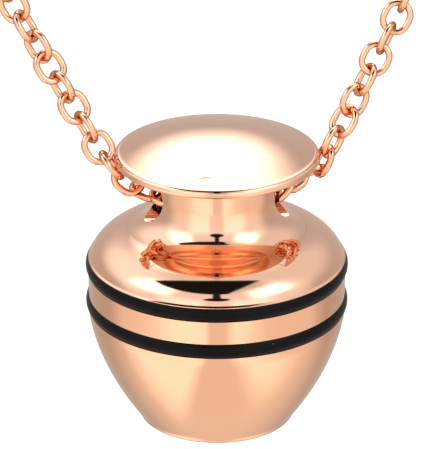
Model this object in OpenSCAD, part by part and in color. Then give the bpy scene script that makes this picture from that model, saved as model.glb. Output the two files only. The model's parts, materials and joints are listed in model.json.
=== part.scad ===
// Keepsake urn pendant on its necklace chain, in millimetres.
// The origin is the middle of the clasp, where the chain lies on the nape. +Z is up, the pendant hangs in front at -Y.

/* [Urn] */
// Largest diameter of the urn, at the band that carries the rings
body_d = 17.8; // [17:0.1:19]
// Diameter of the foot that the urn stands on
base_d = 10.9; // [10:0.1:12]
// Rounding of the foot's edge
base_round = 0.35; // [0.2:0.05:0.6]
// Height of the curved flank from the foot up to the band
flank_h = 7.9; // [7:0.1:9]
// How far the flank bulges past a straight line
flank_bulge = 0.55; // [0.3:0.05:0.7]
// Height of the straight band under the shoulder
band_h = 3.55; // [3.4:0.05:4]
// How far the shoulder runs inwards from the band
shoulder_run = 4.6; // [4.2:0.1:5]
// How far the shoulder rises above the band
shoulder_rise = 2.9; // [2.6:0.1:3.2]

/* [Keepsake chamber] */
// Diameter of the hollow
chamber_d = 10; // [9:0.1:10.4]
// Depth of the hollow
chamber_h = 8.4; // [8:0.1:8.6]
// Thickness of the floor under the hollow
floor_t = 1.6; // [1.4:0.1:1.8]

/* [Black rings] */
// Diameter of a ring's round section
ring_section = 1.5; // [1.3:0.05:1.6]
// How far a ring stands proud of the band
ring_proud = 0.18; // [0.1:0.02:0.3]
// Height of the lower ring above the top of the flank
ring_lift = 0.85; // [0.8:0.05:0.9]
// Distance from one ring up to the next
ring_step = 2.7; // [2.4:0.05:2.8]
// Gap between a ring and its groove
ring_gap = 0.03; // [0.02:0.01:0.05]

/* [Lid] */
// Diameter of the lid's foot, where it lies flush in the shoulder
foot_d = 12.4; // [11.8:0.1:12.8]
// Thickness of the foot's edge
foot_t = 0.8; // [0.6:0.05:1]
// Diameter of the neck
neck_d = 8.2; // [7.8:0.1:8.6]
// Radius of the sweep from the neck out to the foot
sweep_r = 2.8; // [2.6:0.05:3]
// Diameter of the cross hole that the chain passes through
hole_d = 3; // [2.8:0.05:3.1]
// Height of the cross hole's middle above the seam
hole_rise = 2.15; // [2.05:0.05:2.3]
// Outer diameter of the domed top
top_d = 14.1; // [13.8:0.1:14.6]
// Height of the rim's middle above the seam
rim_rise = 5.3; // [5.2:0.05:5.6]
// Radius of the rounded rim
rim_round = 0.34; // [0.3:0.01:0.4]
// How far the dome rises above the rim
dome_rise = 1.05; // [0.8:0.05:1.3]
// How far the underside of the top falls from the rim to the neck
under_fall = 0.2; // [0.1:0.05:0.3]
// Radius of the corner between the neck and the top
corner_r = 0.5; // [0.4:0.05:0.6]

/* [Screw plug] */
// Diameter of the plug that closes the chamber
plug_d = 6.2; // [6:0.05:6.8]
// Length of the plug below the lid's foot
plug_h = 2.6; // [2.4:0.1:2.8]
// Clearance round the plug and the foot
plug_gap = 0.06; // [0.04:0.01:0.08]

/* [Chain] */
// How far the urn's hanging point lies below the nape
drop = 148; // [144:1:152]
// How far the urn's hanging point lies in front of the nape
reach = 108; // [104:1:112]
// Width of the loop round the neck, between the middle lines of its sides
loop_w = 120; // [114:1:126]
// Mean width of the chain
chain_d = 1.4; // [1.3:0.05:1.5]
// How far the chain's line lies above the middle of the cross hole
chain_lift = 0.3; // [0.25:0.05:0.4]

/* [Clasp] */
// Length of the clasp over its two eyes
clasp_l = 13; // [12:0.5:16]
// Diameter of the clasp's barrel
barrel_d = 3.2; // [2.8:0.1:3.6]
// Rounding of the barrel's ends
barrel_round = 0.9; // [0.6:0.1:1.2]
// Diameter of each eye's hole
eye_d = 1.7; // [1.5:0.1:1.9]
// Thickness of an eye's wire
eye_wire = 0.6; // [0.5:0.05:0.7]
// Gap between an eye and the end of the chain
end_gap = 0.1; // [0.1:0.05:0.2]

/* [Hidden] */
$fn = 96;
rose_gold = [0.93, 0.68, 0.55];
black_rubber = [0.06, 0.05, 0.05];

// Heights above the urn's foot
band_z = flank_h;
shoulder_z = flank_h + band_h;
low_ring_z = band_z + ring_lift;
high_ring_z = low_ring_z + ring_step;
foot_r = foot_d / 2;
neck_r = neck_d / 2;
body_r = body_d / 2;
crown_r = body_r - shoulder_run;
seam_z = shoulder_z + shoulder_rise * sqrt(1 - pow((foot_r - crown_r) / shoulder_run, 2));
seat_z = seam_z - foot_t;
hole_z = seam_z + hole_rise;
rim_z = seam_z + rim_rise;
chain_z = hole_z + chain_lift;

// Where the middle of the chain's hanging point lies, seen from the nape
hang = [0, -reach, -drop];

// Right half of the chain's route from the hanging point up to the nape, x outwards.
// Columns: x, y and z from the hanging point, and how many tube rings the stretch to the next point gets.
near_route = [
    [4.3, 0, 0, 1],
    [5.6, 0, 0.1, 1],
    [6.9, 0, 0.6, 1],
    [7.65, 0, 1.3, 1],
    [7.95, 0, 2.2, 1],
    [8.1, 0.1, 3, 1],
    [8.5, 0.4, 4.2, 1],
    [9.5, 1.2, 6.4, 1],
    [27.6, 13.4, 36.4, 2],
    [43.5, 23.6, 63.4, 4]
];
// The same for the hidden stretch, from the nape.
// Columns: x as a share of half the loop's width, y of the reach and z of the drop, and the rings.
far_route = [
    [0.94, 0.66, 0.39, 4],
    [1, 0.46, 0.2, 4],
    [0.93, 0.28, 0.08, 4],
    [0.72, 0.11, 0.02, 4],
    [0.4, 0.03, 0, 4]
];
chain_end_x = clasp_l / 2 + end_gap;

function arc(cx, cz, r, from, to, steps) =
    [for (i = [0:steps]) let (a = from + (to - from) * i / steps) [cx + r * cos(a), cz + r * sin(a)]];

function flank(steps) =
    let (low_r = base_d / 2)
    [for (i = [1:steps])
        let (t = i / steps)
        [low_r + (body_r - low_r) * t + 4 * flank_bulge * t * (1 - t),
         base_round + (band_z - base_round) * t]];

function shoulder(end_r, steps) =
    let (last = acos((end_r - crown_r) / shoulder_run))
    [for (i = [0:steps])
        let (a = last * i / steps)
        [crown_r + shoulder_run * cos(a), shoulder_z + shoulder_rise * sin(a)]];

module ring_shape(z) {
    rotate_extrude()
        translate([body_r + ring_proud - ring_section / 2, z])
            circle(d = ring_section, $fn = 48);
}

module groove(z) {
    rotate_extrude()
        translate([body_r + ring_proud - ring_section / 2, z])
            circle(d = ring_section + 2 * ring_gap, $fn = 48);
}

// Solid urn: foot, bulging flank, straight band and rounded shoulder, open at the top for the lid's foot
module urn_body() {
    seat_r = foot_r + plug_gap;
    color(rose_gold)
        hanging()
            difference() {
                rotate_extrude()
                    polygon(concat(
                        [[0, 0]],
                        arc(base_d / 2 - base_round, base_round, base_round, -90, 0, 5),
                        flank(16),
                        shoulder(seat_r, 20),
                        [[seat_r, seat_z], [0, seat_z]]
                    ));
                groove(low_ring_z);
                groove(high_ring_z);
                translate([0, 0, floor_t])
                    cylinder(d = chamber_d, h = chamber_h);
                translate([0, 0, floor_t + chamber_h / 2])
                    cylinder(d = plug_d + 2 * plug_gap, h = seat_z);
            }
}

module lower_ring() {
    color(black_rubber)
        hanging()
            ring_shape(low_ring_z);
}

module upper_ring() {
    color(black_rubber)
        hanging()
            ring_shape(high_ring_z);
}

function dome(edge_r, edge_z, steps) =
    let (r = (edge_r * edge_r + dome_rise * dome_rise) / (2 * dome_rise),
         half = asin(edge_r / r))
    arc(0, edge_z + dome_rise - r, r, 90 - half, 90, steps);

// Lid turned in one piece: screw plug, foot, swept neck and domed top, with the cross hole for the chain
module lid() {
    rim_r = top_d / 2 - rim_round;
    sweep_end = acos(1 - (foot_r - neck_r) / sweep_r);
    sweep_z = seam_z + sweep_r * sin(sweep_end);
    under_z = rim_z - rim_round - under_fall;
    color(rose_gold)
        hanging()
            difference() {
                rotate_extrude()
                    polygon(concat(
                        [[0, seat_z + plug_gap - plug_h], [plug_d / 2, seat_z + plug_gap - plug_h],
                         [plug_d / 2, seat_z + plug_gap], [foot_r, seat_z + plug_gap]],
                        arc(neck_r + sweep_r, sweep_z, sweep_r, 180 + sweep_end, 180, 14),
                        arc(neck_r + corner_r, under_z - corner_r, corner_r, 180, 90, 6),
                        arc(rim_r, rim_z, rim_round, -90, 90, 10),
                        dome(rim_r, rim_z + rim_round, 14)
                    ));
                translate([-foot_r - 1, 0, hole_z])
                    rotate([0, 90, 0])
                        cylinder(d = hole_d, h = foot_d + 2);
            }
}

// Puts what is drawn round the urn's own axis, foot down, where it hangs on the chain
module hanging() {
    translate([hang[0], hang[1], hang[2] - chain_z])
        children();
}

function mirrored(points) =
    [for (i = [len(points) - 1:-1:0]) [-points[i][0], points[i][1], points[i][2]]];

function unit(v) = v / norm(v);

// Point on the smooth curve through four neighbouring points, a share t of the way along its middle stretch
function spline(a, b, c, d, t) =
    0.5 * (2 * b + (c - a) * t + (2 * a - 5 * b + 4 * c - d) * t * t + (3 * b - a - 3 * c + d) * t * t * t);

function smooth(points, rings) =
    let (last = len(points) - 1)
    concat(
        [for (i = [0:last - 1])
            for (k = [0:rings[i] - 1])
                spline(points[max(i - 1, 0)], points[i], points[i + 1], points[min(i + 2, last)], k / rings[i])],
        [points[last]]
    );

half_route = concat(
    [for (p = near_route) hang + [p[0], p[1], p[2]]],
    [for (p = far_route) [loop_w / 2 * p[0], -reach * p[1], -drop * p[2]]],
    [[chain_end_x, 0, 0]]
);
half_rings = concat([for (p = near_route) p[3]], [for (p = far_route) p[3]]);
half_line = smooth(half_route, half_rings);
chain_line = concat(mirrored(half_line), half_line);

// Closed tube of even width along a line of points
module tube(line, d, sides) {
    last = len(line) - 1;
    ahead = [for (i = [0:last]) unit(line[min(i + 1, last)] - line[max(i - 1, 0)])];
    across = [for (a = ahead) unit(cross(a, [0, 1, 0.001]))];
    points = [for (i = [0:last])
        for (k = [0:sides - 1])
            let (turn = 360 * k / sides, up = cross(ahead[i], across[i]))
            line[i] + d / 2 * (cos(turn) * across[i] + sin(turn) * up)];
    walls = [for (i = [0:last - 1])
        for (k = [0:sides - 1])
            let (a = i * sides + k, b = i * sides + (k + 1) % sides)
            [a, b, b + sides, a + sides]];
    ends = [[for (k = [sides - 1:-1:0]) k], [for (k = [0:sides - 1]) last * sides + k]];
    polyhedron(points, concat(walls, ends), convexity = 10);
}

module chain() {
    color(rose_gold)
        tube(chain_line, chain_d, 8);
}

// One plain piece that closes the loop at the nape: a barrel with a wire eye at each end
module clasp() {
    eye_r = (eye_d + eye_wire) / 2;
    eye_x = (clasp_l - eye_wire) / 2 - eye_r;
    barrel_end = eye_x - eye_r;
    barrel_r = barrel_d / 2;
    color(rose_gold)
        union() {
            rotate([0, 90, 0])
                rotate_extrude()
                    polygon(concat(
                        [[0, -barrel_end]],
                        arc(barrel_r - barrel_round, barrel_round - barrel_end, barrel_round, -90, 0, 8),
                        arc(barrel_r - barrel_round, barrel_end - barrel_round, barrel_round, 0, 90, 8),
                        [[0, barrel_end]]
                    ));
            for (side = [-1, 1])
                translate([side * eye_x, 0, 0])
                    rotate_extrude()
                        translate([eye_r, 0])
                            circle(d = eye_wire, $fn = 32);
        }
}

urn_body();
lower_ring();
upper_ring();
lid();
chain();
clasp();
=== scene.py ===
"""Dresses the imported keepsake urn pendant: polished rose gold, two black rubber rings and a cable chain."""
import json
import logging
import math
from dataclasses import dataclass
from enum import Enum
from typing import Any

import bmesh
import bpy
from mathutils import Matrix, Vector


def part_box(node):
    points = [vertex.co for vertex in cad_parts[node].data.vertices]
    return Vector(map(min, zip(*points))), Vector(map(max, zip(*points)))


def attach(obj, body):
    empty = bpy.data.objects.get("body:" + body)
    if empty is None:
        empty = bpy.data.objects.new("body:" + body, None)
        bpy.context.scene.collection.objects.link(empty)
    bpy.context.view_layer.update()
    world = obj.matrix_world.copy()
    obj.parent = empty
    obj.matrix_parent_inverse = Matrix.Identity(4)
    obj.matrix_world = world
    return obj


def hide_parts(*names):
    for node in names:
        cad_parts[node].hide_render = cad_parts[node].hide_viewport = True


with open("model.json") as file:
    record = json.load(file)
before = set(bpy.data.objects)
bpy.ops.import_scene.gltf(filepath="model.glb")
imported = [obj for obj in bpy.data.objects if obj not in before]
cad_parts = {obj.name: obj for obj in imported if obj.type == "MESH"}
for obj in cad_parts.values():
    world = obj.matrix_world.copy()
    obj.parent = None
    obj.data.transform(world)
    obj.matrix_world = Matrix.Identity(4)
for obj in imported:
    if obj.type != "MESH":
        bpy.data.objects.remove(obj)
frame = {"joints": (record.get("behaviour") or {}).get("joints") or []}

log = logging.getLogger("keepsake_urn")

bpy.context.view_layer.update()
MM = 0.001
# Points of a mesh in millimetres that lie closer than this are one
SAME_PLACE = 1e-5
# Edges sharper than this stay sharp, in degrees
CREASE = 35.0

Outline = list[tuple[float, float]]


class Body(Enum):
    """The rigid bodies that the pieces ride on."""

    CHAIN = "chain"
    LID = "lid"
    URN = "urn"


class LinkDetail(Enum):
    """How finely a chain link is meshed: segments round the link and sides of its wire."""

    NEAR = (24, 10)
    FAR = (10, 6)


# Sockets and nodes


class Value:
    """A shader socket that Python expressions can be written with."""

    def __init__(self, tree: "Tree", socket: Any) -> None:
        """Wraps a socket.

        Args:
            tree: the node tree that new Math nodes go into.
            socket: an output socket.
        """
        self.tree = tree
        self.socket = socket

    def _math(self, operation: str, *inputs: Any) -> "Value":
        """Adds a Math node.

        Args:
            operation: the Math node's operation.
            inputs: values or numbers for its sockets, in order.

        Returns:
            The node's result.
        """
        return self.tree.node("ShaderNodeMath", {"operation": operation}, dict(enumerate(inputs)))

    def __add__(self, other: Any) -> "Value":
        """Returns the sum."""
        return self._math("ADD", self, other)

    def __radd__(self, other: Any) -> "Value":
        """Returns the sum with a number on the left."""
        return self._math("ADD", other, self)

    def __sub__(self, other: Any) -> "Value":
        """Returns the difference."""
        return self._math("SUBTRACT", self, other)

    def __rsub__(self, other: Any) -> "Value":
        """Returns the difference from a number on the left."""
        return self._math("SUBTRACT", other, self)

    def __mul__(self, other: Any) -> "Value":
        """Returns the product."""
        return self._math("MULTIPLY", self, other)

    def __rmul__(self, other: Any) -> "Value":
        """Returns the product with a number on the left."""
        return self._math("MULTIPLY", other, self)

    def __truediv__(self, other: Any) -> "Value":
        """Returns the quotient."""
        return self._math("DIVIDE", self, other)

    def __abs__(self) -> "Value":
        """Returns the size without the sign."""
        return self._math("ABSOLUTE", self)

    def power(self, exponent: float) -> "Value":
        """Returns the value raised to an exponent."""
        return self._math("POWER", self, exponent)

    def at_least(self, least: float) -> "Value":
        """Returns the value, or the least that it may be."""
        return self._math("MAXIMUM", self, least)

    def angle(self) -> "Value":
        """Returns the angle whose sine the value is, in degrees."""
        return self._math("ARCSINE", self) * math.degrees(1)

    def turn_from(self, other: "Value") -> "Value":
        """Returns the angle whose tangent is the value over another, in degrees."""
        return self._math("ARCTAN2", self, other) * math.degrees(1)

    def step(self, low: float, high: float) -> "Value":
        """Ramps smoothly from 0 to 1.

        Args:
            low: the value at which the ramp starts.
            high: the value at which it ends, which may be the smaller one.

        Returns:
            The smooth ramp.
        """
        if low > high:
            return 1 - self.step(high, low)
        return self.tree.node(
            "ShaderNodeMapRange",
            {"interpolation_type": "SMOOTHSTEP"},
            {"Value": self, "From Min": low, "From Max": high},
        )


class Tree:
    """A node tree that is built from Python expressions."""

    def __init__(self, tree: bpy.types.NodeTree) -> None:
        """Clears a node tree and keeps it."""
        self.tree = tree
        tree.nodes.clear()

    def node(self, kind: str, settings: dict[str, Any] | None = None,
             inputs: dict[Any, Any] | None = None, output: Any = 0) -> Value | None:
        """Adds a node.

        Args:
            kind: the node's type.
            settings: properties to set first; "stops" holds a colour ramp's stops.
            inputs: values or numbers for its sockets, by name or place.
            output: name or place of the output to return.

        Returns:
            The chosen output, or None for a node without outputs.
        """
        made = self.tree.nodes.new(kind)
        for name, value in (settings or {}).items():
            if name == "stops":
                elements = made.color_ramp.elements
                while len(elements) < len(value):
                    elements.new(1)
                for element, (place, colour) in zip(elements, value):
                    element.position = place
                    element.color = colour
            else:
                setattr(made, name, value)
        for name, value in (inputs or {}).items():
            if isinstance(value, Value):
                self.tree.links.new(value.socket, made.inputs[name])
            else:
                made.inputs[name].default_value = value
        return Value(self, made.outputs[output]) if made.outputs else None

    def place(self) -> Value:
        """Returns the object coordinates."""
        return self.node("ShaderNodeTexCoord", output="Object")


# Finishes


@dataclass(frozen=True)
class RoseGold:
    """Polished rose gold plating with faint waviness and hairline scratches.

    Args:
        name: the material's name.
        colour: reflected colour, linear.
        edge: tint of what it reflects at a glancing angle, linear.
        roughness: mean roughness.
        haze: how much the roughness varies over the surface.
        wave: depth of the polish's waviness, in metres.
        dull: how bright the duller clouds of the colour are, as a share.
        cloud_scale: fineness of the clouds.
        hairline_scale: fineness of the hairline scratches.
        hairline_haze: how much of the haze the scratches have, as a share.
        hairline_depth: how deep they are, as a share of the waviness.
    """

    name: str
    colour: tuple[float, float, float] = (0.9, 0.53, 0.36)
    edge: tuple[float, float, float] = (1.0, 1.0, 1.0)
    roughness: float = 0.06
    haze: float = 0.03
    wave: float = 0.00001
    dull: float = 0.985
    cloud_scale: float = 220.0
    hairline_scale: float = 9000.0
    hairline_haze: float = 0.3
    hairline_depth: float = 0.02

    def make(self) -> bpy.types.Material:
        """Makes the material.

        Returns:
            The new material.
        """
        material = bpy.data.materials.new(self.name)
        material.use_nodes = True
        tree = Tree(material.node_tree)
        place = tree.place()
        cloud = tree.node(
            "ShaderNodeTexNoise",
            inputs={"Vector": place, "Scale": self.cloud_scale, "Detail": 3.0},
        )
        hairline = tree.node(
            "ShaderNodeTexNoise",
            inputs={"Vector": place, "Scale": self.hairline_scale, "Detail": 2.0},
        )
        tint = tree.node(
            "ShaderNodeValToRGB",
            {"stops": [
                (0.3, (*[c * self.dull for c in self.colour], 1)),
                (0.7, (*self.colour, 1)),
            ]},
            {"Fac": cloud},
        )
        fine_haze = self.hairline_haze * self.haze
        rough = self.roughness + self.haze * (cloud - 0.5) + fine_haze * (hairline - 0.5)
        bump = tree.node(
            "ShaderNodeBump",
            inputs={
                "Height": cloud + self.hairline_depth * hairline,
                "Strength": 1.0, "Distance": self.wave,
            },
        )
        shader = tree.node(
            "ShaderNodeBsdfPrincipled",
            inputs={
                "Base Color": tint, "Metallic": 1.0, "Roughness": rough, "Normal": bump,
                "Specular Tint": (*self.edge, 1),
            },
        )
        tree.node("ShaderNodeOutputMaterial", inputs={"Surface": shader})
        return material


@dataclass(frozen=True)
class BlackRubber:
    """Black rubber with a soft shine, a moulded grain and a few specks of dust.

    Args:
        name: the material's name.
        colour: base colour, linear.
        dust_colour: colour of the specks of dust, linear.
        roughness: the least roughness.
        haze: how much rougher the grain makes it.
        shine: specular level.
        depth: depth of the grain, in metres.
        grain_scale: fineness of the moulded grain.
        dust_scale: fineness of the dust.
    """

    name: str
    colour: tuple[float, float, float] = (0.003, 0.0026, 0.0026)
    dust_colour: tuple[float, float, float] = (0.12, 0.11, 0.11)
    roughness: float = 0.26
    haze: float = 0.2
    shine: float = 0.1
    depth: float = 0.00002
    grain_scale: float = 6000.0
    dust_scale: float = 1400.0

    def make(self) -> bpy.types.Material:
        """Makes the material.

        Returns:
            The new material.
        """
        material = bpy.data.materials.new(self.name)
        material.use_nodes = True
        tree = Tree(material.node_tree)
        place = tree.place()
        grain = tree.node(
            "ShaderNodeTexNoise",
            inputs={"Vector": place, "Scale": self.grain_scale, "Detail": 4.0},
        )
        specks = tree.node("ShaderNodeTexVoronoi", inputs={"Vector": place, "Scale": self.dust_scale})
        dust = specks.step(0.12, 0.06) * grain.step(0.55, 0.65)
        tint = tree.node(
            "ShaderNodeValToRGB",
            {"stops": [(0.0, (*self.colour, 1)), (1.0, (*self.dust_colour, 1))]},
            {"Fac": dust},
        )
        bump = tree.node(
            "ShaderNodeBump",
            inputs={"Height": grain + dust, "Strength": 0.5, "Distance": self.depth},
        )
        shader = tree.node(
            "ShaderNodeBsdfPrincipled",
            inputs={
                "Base Color": tint, "Roughness": self.roughness + self.haze * grain,
                "Specular IOR Level": self.shine, "Normal": bump,
            },
        )
        tree.node("ShaderNodeOutputMaterial", inputs={"Surface": shader})
        return material


# Mesh helpers


def arc(centre_r: float, centre_z: float, radius: float, start: float, end: float, steps: int) -> Outline:
    """Points on a round stretch of an outline.

    Args:
        centre_r: the arc's centre, outwards.
        centre_z: the arc's centre, upwards.
        radius: the arc's radius.
        start: angle of the first point, in degrees.
        end: angle of the last point, in degrees.
        steps: number of stretches between points.

    Returns:
        The points, from start to end.
    """
    turns = [math.radians(start + (end - start) * i / steps) for i in range(steps + 1)]
    return [(centre_r + radius * math.cos(t), centre_z + radius * math.sin(t)) for t in turns]


def line(start: tuple[float, float], end: tuple[float, float], steps: int) -> Outline:
    """Evenly spaced points between two points, both left out.

    Args:
        start: the point before the first one.
        end: the point after the last one.
        steps: number of stretches between start and end.

    Returns:
        The points between.
    """
    return [
        (start[0] + (end[0] - start[0]) * i / steps, start[1] + (end[1] - start[1]) * i / steps)
        for i in range(1, steps)
    ]


def spun(outline: Outline, closed: bool, steps: int) -> bmesh.types.BMesh:
    """Turns an outline round the upright axis through the origin.

    Args:
        outline: points as distance from the axis and height, in millimetres.
        closed: whether the outline is a ring off the axis.
        steps: number of turns of the spin.

    Returns:
        The closed mesh, in millimetres, with its faces outwards.
    """
    made = bmesh.new()
    verts = [made.verts.new((r, 0, z)) for r, z in outline]
    ends = verts[1:] + (verts[:1] if closed else [])
    for a, b in zip(verts, ends):
        made.edges.new((a, b))
    bmesh.ops.spin(
        made, geom=made.verts[:] + made.edges[:], cent=(0, 0, 0), axis=(0, 0, 1),
        angle=math.tau, steps=steps, use_merge=True,
    )
    bmesh.ops.remove_doubles(made, verts=made.verts[:], dist=SAME_PLACE)
    bmesh.ops.recalc_face_normals(made, faces=made.faces[:])
    return made


def finished(shape: bmesh.types.BMesh, name: str, material: bpy.types.Material,
             crease: float = CREASE) -> bpy.types.Object:
    """Makes a scene object of a mesh in millimetres.

    Args:
        shape: the mesh, which is freed.
        name: the piece's name.
        material: its finish.
        crease: edges sharper than this angle stay sharp, in degrees.

    Returns:
        The object, at the origin.
    """
    bmesh.ops.scale(shape, vec=(MM, MM, MM), verts=shape.verts[:])
    mesh = bpy.data.meshes.new(name)
    shape.to_mesh(mesh)
    shape.free()
    mesh.polygons.foreach_set("use_smooth", [True] * len(mesh.polygons))
    mesh.set_sharp_from_angle(angle=math.radians(crease))
    mesh.materials.append(material)
    made = bpy.data.objects.new(name, mesh)
    bpy.context.scene.collection.objects.link(made)
    return made


def cut(target: bpy.types.Object, cutter: bmesh.types.BMesh) -> None:
    """Cuts a shape out of a piece for good.

    Args:
        target: the piece.
        cutter: the shape to take away, in millimetres, which is freed.
    """
    bmesh.ops.scale(cutter, vec=(MM, MM, MM), verts=cutter.verts[:])
    tool_mesh = bpy.data.meshes.new("cutter")
    cutter.to_mesh(tool_mesh)
    cutter.free()
    tool = bpy.data.objects.new("cutter", tool_mesh)
    bpy.context.scene.collection.objects.link(tool)
    boolean = target.modifiers.new("cut", "BOOLEAN")
    boolean.operation = "DIFFERENCE"
    boolean.solver = "EXACT"
    boolean.object = tool
    evaluated = target.evaluated_get(bpy.context.evaluated_depsgraph_get())
    result = bpy.data.meshes.new_from_object(evaluated)
    target.modifiers.clear()
    old = target.data
    target.data = result
    result.name = target.name
    bpy.data.meshes.remove(old)
    bpy.data.objects.remove(tool)
    bpy.data.meshes.remove(tool_mesh)


# Where things are, from the frame, in millimetres

SWING = next(joint for joint in frame["joints"] if joint["name"] == "pendant_swing")
HANG = Vector(SWING["pos_m"]) / MM
FOOT = Vector((HANG.x, HANG.y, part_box("urn_body")[0].z / MM))


@dataclass
class Urn:
    """The hollow urn: foot, bulging flank, straight band with two ring grooves, rounded shoulder.

    Sizes are in millimetres, heights from the foot.
    """

    body_d: float = 17.8
    base_d: float = 10.9
    base_round: float = 0.35
    flank_h: float = 7.9
    flank_bulge: float = 0.55
    band_h: float = 3.55
    shoulder_run: float = 4.6
    shoulder_rise: float = 2.9
    chamber_d: float = 10.0
    chamber_h: float = 8.4
    floor_t: float = 1.6
    ring_section: float = 1.5
    ring_proud: float = 0.18
    ring_lift: float = 0.85
    ring_step: float = 2.7
    ring_gap: float = 0.03
    foot_d: float = 12.4
    foot_t: float = 0.8
    plug_d: float = 6.2
    plug_gap: float = 0.06
    seam_gap: float = 0.008
    turns: int = 256
    base_steps: int = 8
    flank_steps: int = 40
    groove_steps: int = 28
    shoulder_steps: int = 60
    ring_sides: int = 32

    @property
    def crown_r(self) -> float:
        """Radius at which the shoulder would be level."""
        return self.body_d / 2 - self.shoulder_run

    @property
    def shoulder_z(self) -> float:
        """Height at which the shoulder starts."""
        return self.flank_h + self.band_h

    @property
    def seam_z(self) -> float:
        """Height of the seam between lid and shoulder."""
        share = (self.foot_d / 2 - self.crown_r) / self.shoulder_run
        return self.shoulder_z + self.shoulder_rise * math.sqrt(1 - share * share)

    @property
    def ring_heights(self) -> tuple[float, float]:
        """Heights of the lower and the upper ring."""
        low = self.flank_h + self.ring_lift
        return low, low + self.ring_step

    @property
    def ring_centre_r(self) -> float:
        """Distance of the middle of a ring's section from the axis."""
        return self.body_d / 2 + self.ring_proud - self.ring_section / 2

    def groove(self, height: float) -> Outline:
        """Draws one ring groove.

        Args:
            height: its height above the foot.

        Returns:
            Its outline, from its lower edge to its upper edge.
        """
        radius = self.ring_section / 2 + self.ring_gap
        reach = math.degrees(math.acos((self.body_d / 2 - self.ring_centre_r) / radius))
        return arc(self.ring_centre_r, height, radius, 360 - reach, reach, self.groove_steps)

    def outline(self) -> Outline:
        """Draws the wall, outside and inside.

        Returns:
            Its outline, from the foot's middle round to the chamber's floor.
        """
        low_r = self.base_d / 2
        body_r = self.body_d / 2
        seat_r = self.foot_d / 2 + self.seam_gap
        hole_r = self.plug_d / 2 + self.plug_gap
        top = self.seam_z - self.foot_t
        flank = []
        for i in range(1, self.flank_steps):
            t = i / self.flank_steps
            bulge = 4 * self.flank_bulge * t * (1 - t)
            rise = (self.flank_h - self.base_round) * t
            flank.append((low_r + (body_r - low_r) * t + bulge, self.base_round + rise))
        last = math.degrees(math.acos((seat_r - self.crown_r) / self.shoulder_run))
        shoulder = []
        for i in range(self.shoulder_steps + 1):
            t = math.radians(last * i / self.shoulder_steps)
            shoulder.append((self.crown_r + self.shoulder_run * math.cos(t),
                             self.shoulder_z + self.shoulder_rise * math.sin(t)))
        ceiling = self.floor_t + self.chamber_h
        return [
            (0, 0),
            *arc(low_r - self.base_round, self.base_round, self.base_round, -90, 0, self.base_steps),
            *flank,
            *self.groove(self.ring_heights[0]),
            *self.groove(self.ring_heights[1]),
            *shoulder,
            (seat_r, top),
            (hole_r, top),
            (hole_r, ceiling),
            (self.chamber_d / 2, ceiling),
            (self.chamber_d / 2, self.floor_t),
            (0, self.floor_t),
        ]

    def build(self, finish: RoseGold) -> bpy.types.Object:
        """Builds the urn body.

        Args:
            finish: its metal.

        Returns:
            The piece.
        """
        shape = spun(self.outline(), False, self.turns)
        bmesh.ops.translate(shape, vec=FOOT, verts=shape.verts[:])
        piece = finished(shape, "urn_bowl", finish.make())
        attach(piece, Body.URN.value)
        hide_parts("urn_body")
        return piece

    def build_ring(self, name: str, node: str, height: float,
                   material: bpy.types.Material) -> bpy.types.Object:
        """Builds one rubber ring in its groove.

        Args:
            name: the piece's name.
            node: the CAD node that it stands for.
            height: its height above the foot.
            material: its finish.

        Returns:
            The piece.
        """
        section = arc(self.ring_centre_r, height, self.ring_section / 2, 0, 360, self.ring_sides)[:-1]
        shape = spun(section, True, self.turns)
        bmesh.ops.translate(shape, vec=FOOT, verts=shape.verts[:])
        piece = finished(shape, name, material)
        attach(piece, Body.URN.value)
        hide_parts(node)
        return piece


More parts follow.
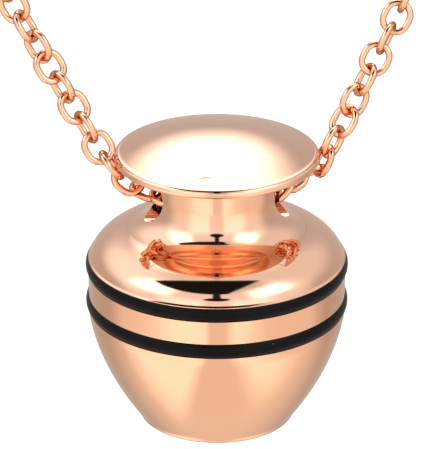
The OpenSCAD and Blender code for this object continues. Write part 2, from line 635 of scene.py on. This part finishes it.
@dataclass
class Lid:
    """The lid, turned in one piece: screw plug, flush foot, swept neck with a cross hole, domed top.

    Sizes are in millimetres, heights from the urn's foot.
    """

    urn: Urn
    neck_d: float = 8.2
    sweep_r: float = 2.8
    hole_d: float = 3.0
    hole_rise: float = 2.15
    top_d: float = 14.1
    rim_rise: float = 5.3
    rim_round: float = 0.34
    dome_rise: float = 1.05
    under_fall: float = 0.2
    corner_r: float = 0.5
    plug_h: float = 2.6
    drill_spare: float = 2.0
    crease: float = 30.0
    turns: int = 256
    sweep_steps: int = 40
    wall_steps: int = 8
    corner_steps: int = 14
    rim_steps: int = 28
    dome_steps: int = 40
    drill_sides: int = 96

    def outline(self) -> Outline:
        """Draws the lid.

        Returns:
            Its outline, from the plug's middle round to the dome's middle.
        """
        seam = self.urn.seam_z
        seat = seam - self.urn.foot_t + self.urn.plug_gap
        foot_r = self.urn.foot_d / 2
        neck_r = self.neck_d / 2
        plug_r = self.urn.plug_d / 2
        rim_r = self.top_d / 2 - self.rim_round
        rim_z = seam + self.rim_rise
        end = math.degrees(math.acos(1 - (foot_r - neck_r) / self.sweep_r))
        sweep_z = seam + self.sweep_r * math.sin(math.radians(end))
        under_z = rim_z - self.rim_round - self.under_fall
        edge_z = rim_z + self.rim_round
        dome_r = (rim_r * rim_r + self.dome_rise * self.dome_rise) / (2 * self.dome_rise)
        half = math.degrees(math.asin(rim_r / dome_r))
        neck_low = (neck_r, sweep_z)
        neck_top = (neck_r, under_z - self.corner_r)
        under_in = (neck_r + self.corner_r, under_z)
        under_out = (rim_r, rim_z - self.rim_round)
        return [
            (0, seat - self.plug_h),
            (plug_r, seat - self.plug_h),
            (plug_r, seat),
            (foot_r, seat),
            *arc(neck_r + self.sweep_r, sweep_z, self.sweep_r, 180 + end, 180, self.sweep_steps),
            *line(neck_low, neck_top, self.wall_steps),
            *arc(under_in[0], neck_top[1], self.corner_r, 180, 90, self.corner_steps),
            *line(under_in, under_out, self.wall_steps),
            *arc(rim_r, rim_z, self.rim_round, -90, 90, self.rim_steps),
            *arc(0, edge_z + self.dome_rise - dome_r, dome_r, 90 - half, 90, self.dome_steps)[1:],
        ]

    def build(self, finish: RoseGold) -> bpy.types.Object:
        """Builds the lid.

        Args:
            finish: its metal.

        Returns:
            The piece.
        """
        shape = spun(self.outline(), False, self.turns)
        bmesh.ops.translate(shape, vec=FOOT, verts=shape.verts[:])
        piece = finished(shape, "urn_lid", finish.make())
        drill = bmesh.new()
        bmesh.ops.create_cone(
            drill, cap_ends=True, segments=self.drill_sides, radius1=self.hole_d / 2,
            radius2=self.hole_d / 2, depth=self.urn.foot_d + self.drill_spare,
        )
        place = Matrix.Translation(FOOT + Vector((0, 0, self.urn.seam_z + self.hole_rise)))
        lying = Matrix.Rotation(math.pi / 2, 4, "Y")
        bmesh.ops.transform(drill, matrix=place @ lying, verts=drill.verts[:])
        cut(piece, drill)
        piece.data.set_sharp_from_angle(angle=math.radians(self.crease))
        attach(piece, Body.LID.value)
        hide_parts("lid")
        return piece


@dataclass(frozen=True)
class Strand:
    """One side of the chain, from the mouth of the cross hole outwards.

    Args:
        side: -1 for the left and 1 for the right.
        places: where the first links hook into each other, in millimetres from the hanging point.
        rolls: how far each of the first links is turned about its own length, in degrees.
    """

    side: int
    places: tuple[tuple[float, float, float], ...]
    rolls: tuple[float, ...]


LEFT_STRAND = Strand(
    -1,
    ((-2.6, 0, 0.05), (-4.2, 0.1, 0.04), (-5.43, -0.09, 0.85), (-6.73, 0.05, 1.78), (-7.71, 0.06, 2.98),
     (-8.49, 0.58, 4.28), (-9.27, 1.1, 5.57)),
    (-45, 52, -16, 101, -8, 70, -20, 60, -18, 49, 118, 205),
)
RIGHT_STRAND = Strand(
    1,
    ((2.6, 0, 0.05), (3.91, -0.02, -0.22), (4.87, 0.16, 0.71), (5.95, 0.88, 1.05), (7.13, 0.61, 1.36),
     (7.72, 0.55, 2.6), (8.5, 1.08, 3.89), (9.28, 1.6, 5.18)),
    (45, -51, 25, -100, 119, 61, 140, 35, 116, 0, 80, 0),
)


@dataclass
class CableChain:
    """The cable chain: oval links in turn at right angles, through the lid's hole and round to the clasp.

    Sizes are in millimetres, places of the near route from the hanging point, the far route's as shares.
    """

    pitch: float = 1.6
    link_l: float = 2.56
    link_w: float = 2.22
    wire: float = 0.48
    near_count: int = 22
    loop_w: float = 120.0
    end_x: float = 5.89
    hole_places: tuple[float, ...] = (-1.3, 0.0, 1.3)
    hole_rolls: tuple[float, ...] = (45, -45, 45, -45)
    rise: tuple[tuple[float, float, float], ...] = ((27.6, 13.4, 36.4), (43.5, 23.6, 63.4))
    far_route: tuple[tuple[float, float, float], ...] = (
        (0.94, 0.66, 0.39),
        (1, 0.46, 0.2),
        (0.93, 0.28, 0.08),
        (0.72, 0.11, 0.02),
        (0.4, 0.03, 0),
    )
    rolled_from: tuple[float, float, float] = (-0.0798, -0.9126, 0.4011)
    curve_steps: int = 60
    crease: float = 80.0

    @staticmethod
    def smooth(points: list[Vector], steps: int) -> list[Vector]:
        """Draws a smooth curve through points.

        Args:
            points: the points.
            steps: number of stretches between two of them.

        Returns:
            Points along the curve.
        """
        last = len(points) - 1
        curve = []
        for i in range(last):
            a, b = points[max(i - 1, 0)], points[i]
            c, d = points[i + 1], points[min(i + 2, last)]
            for k in range(steps):
                t = k / steps
                curve.append(0.5 * (2 * b + (c - a) * t + (2 * a - 5 * b + 4 * c - d) * t * t
                                    + (3 * b - a - 3 * c + d) * t ** 3))
        return [*curve, points[last]]

    def places(self, strand: Strand) -> list[Vector]:
        """Finds where the links of one side hook into each other.

        Args:
            strand: the side.

        Returns:
            The places, from the cross hole to the clasp's eye.
        """
        near = [HANG + Vector(p) for p in strand.places]
        rise = [HANG + Vector((strand.side * x, y, z)) for x, y, z in self.rise]
        half = strand.side * self.loop_w / 2
        far = [Vector((half * x, HANG.y * y, HANG.z * z)) for x, y, z in self.far_route]
        end = Vector((strand.side * self.end_x, 0, 0))
        curve = self.smooth([near[-1], *rise, *far, end], self.curve_steps)
        length = sum((b - a).length for a, b in zip(curve, curve[1:]))
        count = round(length / self.pitch)
        pitch = length / count
        found = [curve[0]]
        gone = 0.0
        for a, b in zip(curve, curve[1:]):
            step = (b - a).length
            while gone + step >= pitch * len(found) and len(found) < count:
                found.append(a.lerp(b, (pitch * len(found) - gone) / step))
            gone += step
        return [*near, *found[1:], curve[-1]]

    def frame_of(self, start: Vector, end: Vector, roll: float) -> Matrix:
        """Places a link by its roll, which is counted from facing the front.

        Args:
            start: where its one end hooks in.
            end: where its other end hooks in.
            roll: its turn about its own length, in degrees.

        Returns:
            The link's place.
        """
        ahead = (end - start).normalized()
        facing = Vector(self.rolled_from)
        facing = (facing - ahead * facing.dot(ahead)).normalized()
        side = ahead.cross(facing)
        if side.z < 0:
            side = -side
        turn = math.radians(roll)
        return self.placed(start, end, side * math.cos(turn) + facing * math.sin(turn))

    @staticmethod
    def placed(start: Vector, end: Vector, across: Vector) -> Matrix:
        """Places a link between two points.

        Args:
            start: where its one end hooks in.
            end: where its other end hooks in.
            across: the direction of its width.

        Returns:
            The link's place.
        """
        ahead = (end - start).normalized()
        place = Matrix((across, ahead, across.cross(ahead))).transposed().to_4x4()
        place.translation = (start + end) / 2
        return place

    def strand_frames(self, strand: Strand) -> list[Matrix]:
        """Places the links of one side, and turns the last one upright in the clasp's flat eye.

        Args:
            strand: the side.

        Returns:
            The links' places, from the cross hole to the clasp.
        """
        points = self.places(strand)
        pairs = list(zip(points, points[1:]))
        known = len(strand.rolls)
        frames = [self.frame_of(a, b, roll) for (a, b), roll in zip(pairs, strand.rolls)]
        across = frames[-1].col[0].to_3d()
        carried = []
        for a, b in pairs[known:]:
            ahead = (b - a).normalized()
            across = (across - ahead * across.dot(ahead)).normalized()
            carried.append(across)
        ahead = (points[-1] - points[-2]).normalized()
        upright = Vector((0, 0, 1))
        off = math.degrees(math.atan2(carried[-1].cross(upright).dot(ahead), carried[-1].dot(upright)))
        count = len(carried)
        spare = (off - 90 * count + 90) % 180 - 90
        for i, ((a, b), across) in enumerate(zip(pairs[known:], carried), 1):
            turn = math.radians((90 + spare / count) * i)
            frames.append(self.placed(a, b, Matrix.Rotation(turn, 3, (b - a).normalized()) @ across))
        return frames

    def frames(self) -> list[Matrix]:
        """Places all the links.

        Returns:
            The links' places, from one clasp eye round to the other.
        """
        left = self.strand_frames(LEFT_STRAND)
        right = self.strand_frames(RIGHT_STRAND)
        marks = [LEFT_STRAND.places[0], *((x, 0, 0) for x in self.hole_places), RIGHT_STRAND.places[0]]
        points = [HANG + Vector(p) for p in marks]
        hole = [self.frame_of(a, b, roll) for a, b, roll in zip(points, points[1:], self.hole_rolls)]
        return [*reversed(left), *hole, *right]

    def link(self, detail: LinkDetail) -> bmesh.types.BMesh:
        """Makes one oval link, long along Y and flat in the XY plane, at the origin.

        Args:
            detail: how finely it is meshed.

        Returns:
            The mesh, in millimetres.
        """
        segments, sides = detail.value
        made = bmesh.new()
        ring = bmesh.ops.create_circle(made, cap_ends=False, segments=sides, radius=self.wire / 2)["verts"]
        standing = Matrix.Rotation(math.pi / 2, 3, "X")
        bmesh.ops.rotate(made, verts=ring, cent=(0, 0, 0), matrix=standing)
        bend = (self.link_w - self.wire) / 2
        bmesh.ops.translate(made, vec=(bend, 0, 0), verts=ring)
        bmesh.ops.spin(
            made, geom=made.verts[:] + made.edges[:], cent=(0, 0, 0), axis=(0, 0, 1),
            angle=math.tau, steps=segments, use_merge=True,
        )
        stretch = (self.link_l - self.link_w) / 2
        for side in (-1, 1):
            half = [v for v in made.verts if v.co.y * side > SAME_PLACE]
            bmesh.ops.translate(made, vec=(0, side * stretch, 0), verts=half)
        bmesh.ops.recalc_face_normals(made, faces=made.faces[:])
        return made

    def build(self, finish: RoseGold) -> bpy.types.Object:
        """Builds the whole chain as one piece.

        Args:
            finish: its metal.

        Returns:
            The piece.
        """
        patterns = {}
        for detail in LinkDetail:
            shape = self.link(detail)
            patterns[detail] = bpy.data.meshes.new("link")
            shape.to_mesh(patterns[detail])
            shape.free()
        made = bmesh.new()
        frames = self.frames()
        for i, place in enumerate(frames):
            near = abs(i - len(frames) // 2) < self.near_count
            start = len(made.verts)
            made.from_mesh(patterns[LinkDetail.NEAR if near else LinkDetail.FAR])
            made.verts.ensure_lookup_table()
            bmesh.ops.transform(made, matrix=place, verts=made.verts[start:])
        for pattern in patterns.values():
            bpy.data.meshes.remove(pattern)
        piece = finished(made, "cable_chain", finish.make(), self.crease)
        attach(piece, Body.CHAIN.value)
        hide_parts("chain")
        log.info("%d links", len(frames))
        return piece


@dataclass
class Clasp:
    """The plain closed clasp at the nape: a barrel with a wire eye at each end.

    Sizes are in millimetres.
    """

    length: float = 13.0
    barrel_d: float = 3.2
    barrel_round: float = 0.9
    eye_d: float = 1.7
    eye_wire: float = 0.6
    barrel_turns: int = 64
    round_steps: int = 10
    eye_turns: int = 48
    eye_sides: int = 16

    def build(self, finish: RoseGold) -> bpy.types.Object:
        """Builds the clasp.

        Args:
            finish: its metal.

        Returns:
            The piece.
        """
        eye_r = (self.eye_d + self.eye_wire) / 2
        eye_x = (self.length - self.eye_wire) / 2 - eye_r
        end = eye_x - eye_r
        edge = self.barrel_round
        edge_r = self.barrel_d / 2 - edge
        outline = [
            (0, -end),
            *arc(edge_r, edge - end, edge, -90, 0, self.round_steps),
            *arc(edge_r, end - edge, edge, 0, 90, self.round_steps),
            (0, end),
        ]
        made = spun(outline, False, self.barrel_turns)
        lying = Matrix.Rotation(math.pi / 2, 3, "Y")
        bmesh.ops.rotate(made, verts=made.verts[:], cent=(0, 0, 0), matrix=lying)
        for side in (-1, 1):
            wire = arc(eye_r, 0, self.eye_wire / 2, 0, 360, self.eye_sides)[:-1]
            eye = spun(wire, True, self.eye_turns)
            bmesh.ops.translate(eye, vec=(side * eye_x, 0, 0), verts=eye.verts[:])
            mesh = bpy.data.meshes.new("eye")
            eye.to_mesh(mesh)
            eye.free()
            made.from_mesh(mesh)
            bpy.data.meshes.remove(mesh)
        piece = finished(made, "nape_clasp", finish.make())
        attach(piece, Body.CHAIN.value)
        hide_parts("clasp")
        return piece


class Way(Enum):
    """What tells one direction of the studio's light from another."""

    TURN = "degrees to the right of the camera"
    OFF = "degrees to either side of the camera"
    RISE = "degrees above the horizon"
    FLOOR_FRONT = "towards the camera on a floor one unit below"
    FLOOR_SIDE = "to the right on that floor"
    CEILING_FRONT = "towards the camera on a ceiling one unit above"
    CEILING_SPREAD = "out from the middle of that ceiling"
    STRIP_SIDE = "to either side of the strip of light along that ceiling"
    SLANT = "across the slanted end of the opening in that ceiling"
    LENS = "out from the middle of the lens, squared, 1 at its edge"


@dataclass(frozen=True)
class Patch:
    """A patch of the studio tent with soft edges.

    Args:
        strength: how bright it is, or 1 for a dark patch.
        edges: for each edge, what it is measured by, where the patch starts and where it is full.
    """

    strength: float
    edges: tuple[tuple[Way, float, float], ...]

    def seen(self, ways: dict[Way, Value]) -> Value:
        """Finds how much of the patch is in a direction.

        Args:
            ways: the direction.

        Returns:
            The patch's strength there.
        """
        made: Any = self.strength
        for way, start, full in self.edges:
            made = made * ways[way].step(start, full)
        return made


FLOOR_PATCHES = (
    Patch(0.4, ((Way.FLOOR_FRONT, -1.0, 0.05),)),
    Patch(0.6, (
        (Way.FLOOR_FRONT, -0.35, 0.3), (Way.FLOOR_SIDE, -0.2, -0.42), (Way.FLOOR_SIDE, -2.3, -1.2),
    )),
    Patch(0.51, (
        (Way.FLOOR_FRONT, -0.2, 0.45), (Way.FLOOR_SIDE, 0.22, 0.62), (Way.FLOOR_SIDE, 1.6, 0.75),
    )),
)
WALL_PATCHES = (
    Patch(0.46, ((Way.OFF, 105, 70), (Way.RISE, 75, 45))),
    Patch(0.34, ((Way.OFF, 60, 95), (Way.OFF, 165, 140), (Way.RISE, 8, 34))),
    Patch(0.5, ((Way.OFF, 8, 18), (Way.OFF, 62, 40), (Way.RISE, 42, 22))),
)
LEFT_BOX = Patch(1.5, (
    (Way.TURN, -106, -78), (Way.TURN, -40, -62), (Way.RISE, 22, 40), (Way.RISE, 62, 50),
))
LEFT_GLOW = Patch(0.44, (
    (Way.TURN, -175, -125), (Way.TURN, -60, -95), (Way.RISE, 6, 30), (Way.RISE, 72, 50),
))
RIGHT_BOX = Patch(2.0, (
    (Way.TURN, 26, 52), (Way.TURN, 92, 68), (Way.RISE, 24, 42), (Way.RISE, 62, 46),
))
BACK_STRIP = Patch(2.5, (
    (Way.OFF, 120, 150), (Way.STRIP_SIDE, 0.6, 0.12), (Way.RISE, 10, 36), (Way.RISE, 78, 68),
))
OPENING = Patch(1.0, (
    (Way.RISE, 5, 10), (Way.CEILING_FRONT, 0.0, 0.05), (Way.CEILING_SPREAD, 0.77, 0.69),
    (Way.SLANT, 0.46, 0.38),
))
# The lens shows as a flat oval under the opening, joined to it by its narrow stand
LENS = Patch(1.0, ((Way.LENS, 1.25, 0.75),))
STAND = Patch(1.0, ((Way.OFF, 6, 3), (Way.RISE, 35, 38), (Way.RISE, 64, 60)))


@dataclass
class Studio:
    """Camera, pale floor and the soft light of a studio tent. Sizes are in millimetres."""

    azimuth: float = -5.0
    elevation: float = 23.65
    distance: float = 270.3
    focal_px: float = 3920.0
    frame_px: float = 449.0
    sensor: float = 36.0
    aim_height: float = 14.24
    aim_left: float = 0.3
    clip_m: tuple[float, float] = (0.01, 50.0)
    floor_drop: float = 300.0
    floor_size: float = 16000.0
    floor_colour: tuple[float, float, float] = (0.96, 0.96, 0.96)
    floor_light: float = 0.54
    wall_light: float = 0.6
    least_light: float = 0.012
    warm_light: tuple[float, float, float] = (1.017, 0.925, 0.833)
    cool_light: tuple[float, float, float] = (0.98, 1.0, 1.03)
    flat_rise: float = 0.05
    strip_left: float = 0.06
    slant: float = 0.35
    lens_rise: float = 37.0
    lens_narrow: float = 0.006
    lens_flat: float = 0.04

    def add_camera(self) -> None:
        """Adds the camera at the photograph's viewing angle."""
        a = math.radians(self.azimuth)
        e = math.radians(self.elevation)
        back = Vector((math.sin(a) * math.cos(e), -math.cos(a) * math.cos(e), math.sin(e)))
        right = Vector((math.cos(a), math.sin(a), 0))
        aim = FOOT + Vector((0, 0, self.aim_height)) - right * self.aim_left
        data = bpy.data.cameras.new("camera")
        data.sensor_width = self.sensor
        data.lens = self.focal_px / self.frame_px * self.sensor
        data.clip_start, data.clip_end = self.clip_m
        camera = bpy.data.objects.new("camera", data)
        camera.location = (aim + back * self.distance) * MM
        camera.rotation_mode = "QUATERNION"
        camera.rotation_quaternion = (-back).to_track_quat("-Z", "Y")
        bpy.context.scene.collection.objects.link(camera)
        bpy.context.scene.camera = camera

    def add_floor(self) -> None:
        """Adds the plain pale floor, which the polished metal doesn't mirror."""
        made = bmesh.new()
        bmesh.ops.create_grid(made, x_segments=1, y_segments=1, size=self.floor_size / 2 * MM)
        bmesh.ops.translate(made, vec=(0, 0, (FOOT.z - self.floor_drop) * MM), verts=made.verts[:])
        mesh = bpy.data.meshes.new("floor")
        made.to_mesh(mesh)
        made.free()
        material = bpy.data.materials.new("pale_floor")
        material.use_nodes = True
        tree = Tree(material.node_tree)
        shader = tree.node("ShaderNodeBsdfDiffuse", inputs={"Color": (*self.floor_colour, 1)})
        tree.node("ShaderNodeOutputMaterial", inputs={"Surface": shader})
        mesh.materials.append(material)
        floor = bpy.data.objects.new("floor", mesh)
        floor.visible_glossy = False
        bpy.context.scene.collection.objects.link(floor)

    def ways(self, tree: Tree) -> dict[Way, Value]:
        """Measures the direction that the light comes from.

        Args:
            tree: the world's node tree.

        Returns:
            The direction, measured in each way.
        """
        towards = tree.node("ShaderNodeTexCoord", output="Generated")
        split = tree.node("ShaderNodeSeparateXYZ", inputs={"Vector": towards})
        x, y, up = (Value(tree, socket) for socket in split.socket.node.outputs)
        a = math.radians(self.azimuth)
        front = x * math.sin(a) - y * math.cos(a)
        aside = x * math.cos(a) + y * math.sin(a)
        turn = aside.turn_from(front)
        rise = up.angle()
        off = abs(turn)
        below = (0 - up).at_least(self.flat_rise)
        above = up.at_least(self.flat_rise)
        ceiling_front, ceiling_side = front / above, aside / above
        lens_up = rise - self.lens_rise
        return {
            Way.TURN: turn,
            Way.OFF: off,
            Way.RISE: rise,
            Way.FLOOR_FRONT: front / below,
            Way.FLOOR_SIDE: aside / below,
            Way.CEILING_FRONT: ceiling_front,
            Way.CEILING_SPREAD: (ceiling_front * ceiling_front + ceiling_side * ceiling_side).power(0.5),
            Way.STRIP_SIDE: abs(ceiling_side + self.strip_left),
            Way.SLANT: ceiling_side + self.slant * ceiling_front,
            Way.LENS: off * off * self.lens_narrow + lens_up * lens_up * self.lens_flat,
        }

    def add_light(self) -> None:
        """Adds the studio's light as a world: walls, soft boxes, a dark opening overhead and a lens."""
        world = bpy.data.worlds.new("studio_tent")
        world.use_nodes = True
        tree = Tree(world.node_tree)
        ways = self.ways(tree)
        floor: Any = self.floor_light
        for patch in FLOOR_PATCHES:
            floor = floor + patch.seen(ways)
        walls: Any = self.wall_light
        for patch in WALL_PATCHES:
            walls = walls + patch.seen(ways)
        low = ways[Way.RISE].step(-12, -28)
        lit = low * floor + (1 - low) * walls
        for patch in (LEFT_BOX, LEFT_GLOW, RIGHT_BOX, BACK_STRIP):
            lit = lit + patch.seen(ways)
        lens = 1 - (1 - LENS.seen(ways)) * (1 - STAND.seen(ways))
        bright = lit * (1 - OPENING.seen(ways)) * (1 - lens) + self.least_light
        tint = tree.node(
            "ShaderNodeValToRGB",
            {"stops": [(0.0, (*self.warm_light, 1)), (1.0, (*self.cool_light, 1))]},
            {"Fac": ways[Way.RISE].step(-20, 25)},
        )
        ground = tree.node("ShaderNodeBackground", inputs={"Color": tint, "Strength": bright})
        tree.node("ShaderNodeOutputWorld", inputs={"Surface": ground})
        bpy.context.scene.world = world

    def build(self) -> None:
        """Adds camera, floor and light, and shows colours as they are."""
        self.add_camera()
        self.add_floor()
        self.add_light()
        bpy.context.scene.view_settings.view_transform = "Standard"


def main() -> None:
    """Builds the pieces in order and reports each one."""
    logging.basicConfig(level=logging.INFO, format="%(message)s")
    Studio().build()
    urn = Urn()
    rubber = BlackRubber("black_rubber").make()
    low, high = urn.ring_heights
    pieces = [
        urn.build(RoseGold("bowl_metal")),
        urn.build_ring("lower_rubber_ring", "lower_ring", low, rubber),
        urn.build_ring("upper_rubber_ring", "upper_ring", high, rubber),
        Lid(urn).build(RoseGold("lid_metal")),
        # The chain's metal is a darker copy of the rose gold with a dark brown edge tint: painted shade for
        # the darker reflections along the wires' outlines
        CableChain().build(RoseGold("chain_metal", colour=(0.84, 0.47, 0.3), edge=(0.45, 0.3, 0.22))),
        Clasp().build(RoseGold("clasp_metal")),
    ]
    for piece in pieces:
        log.info("%s: %d faces", piece.name, len(piece.data.polygons))


if __name__ == "__main__":
    main()
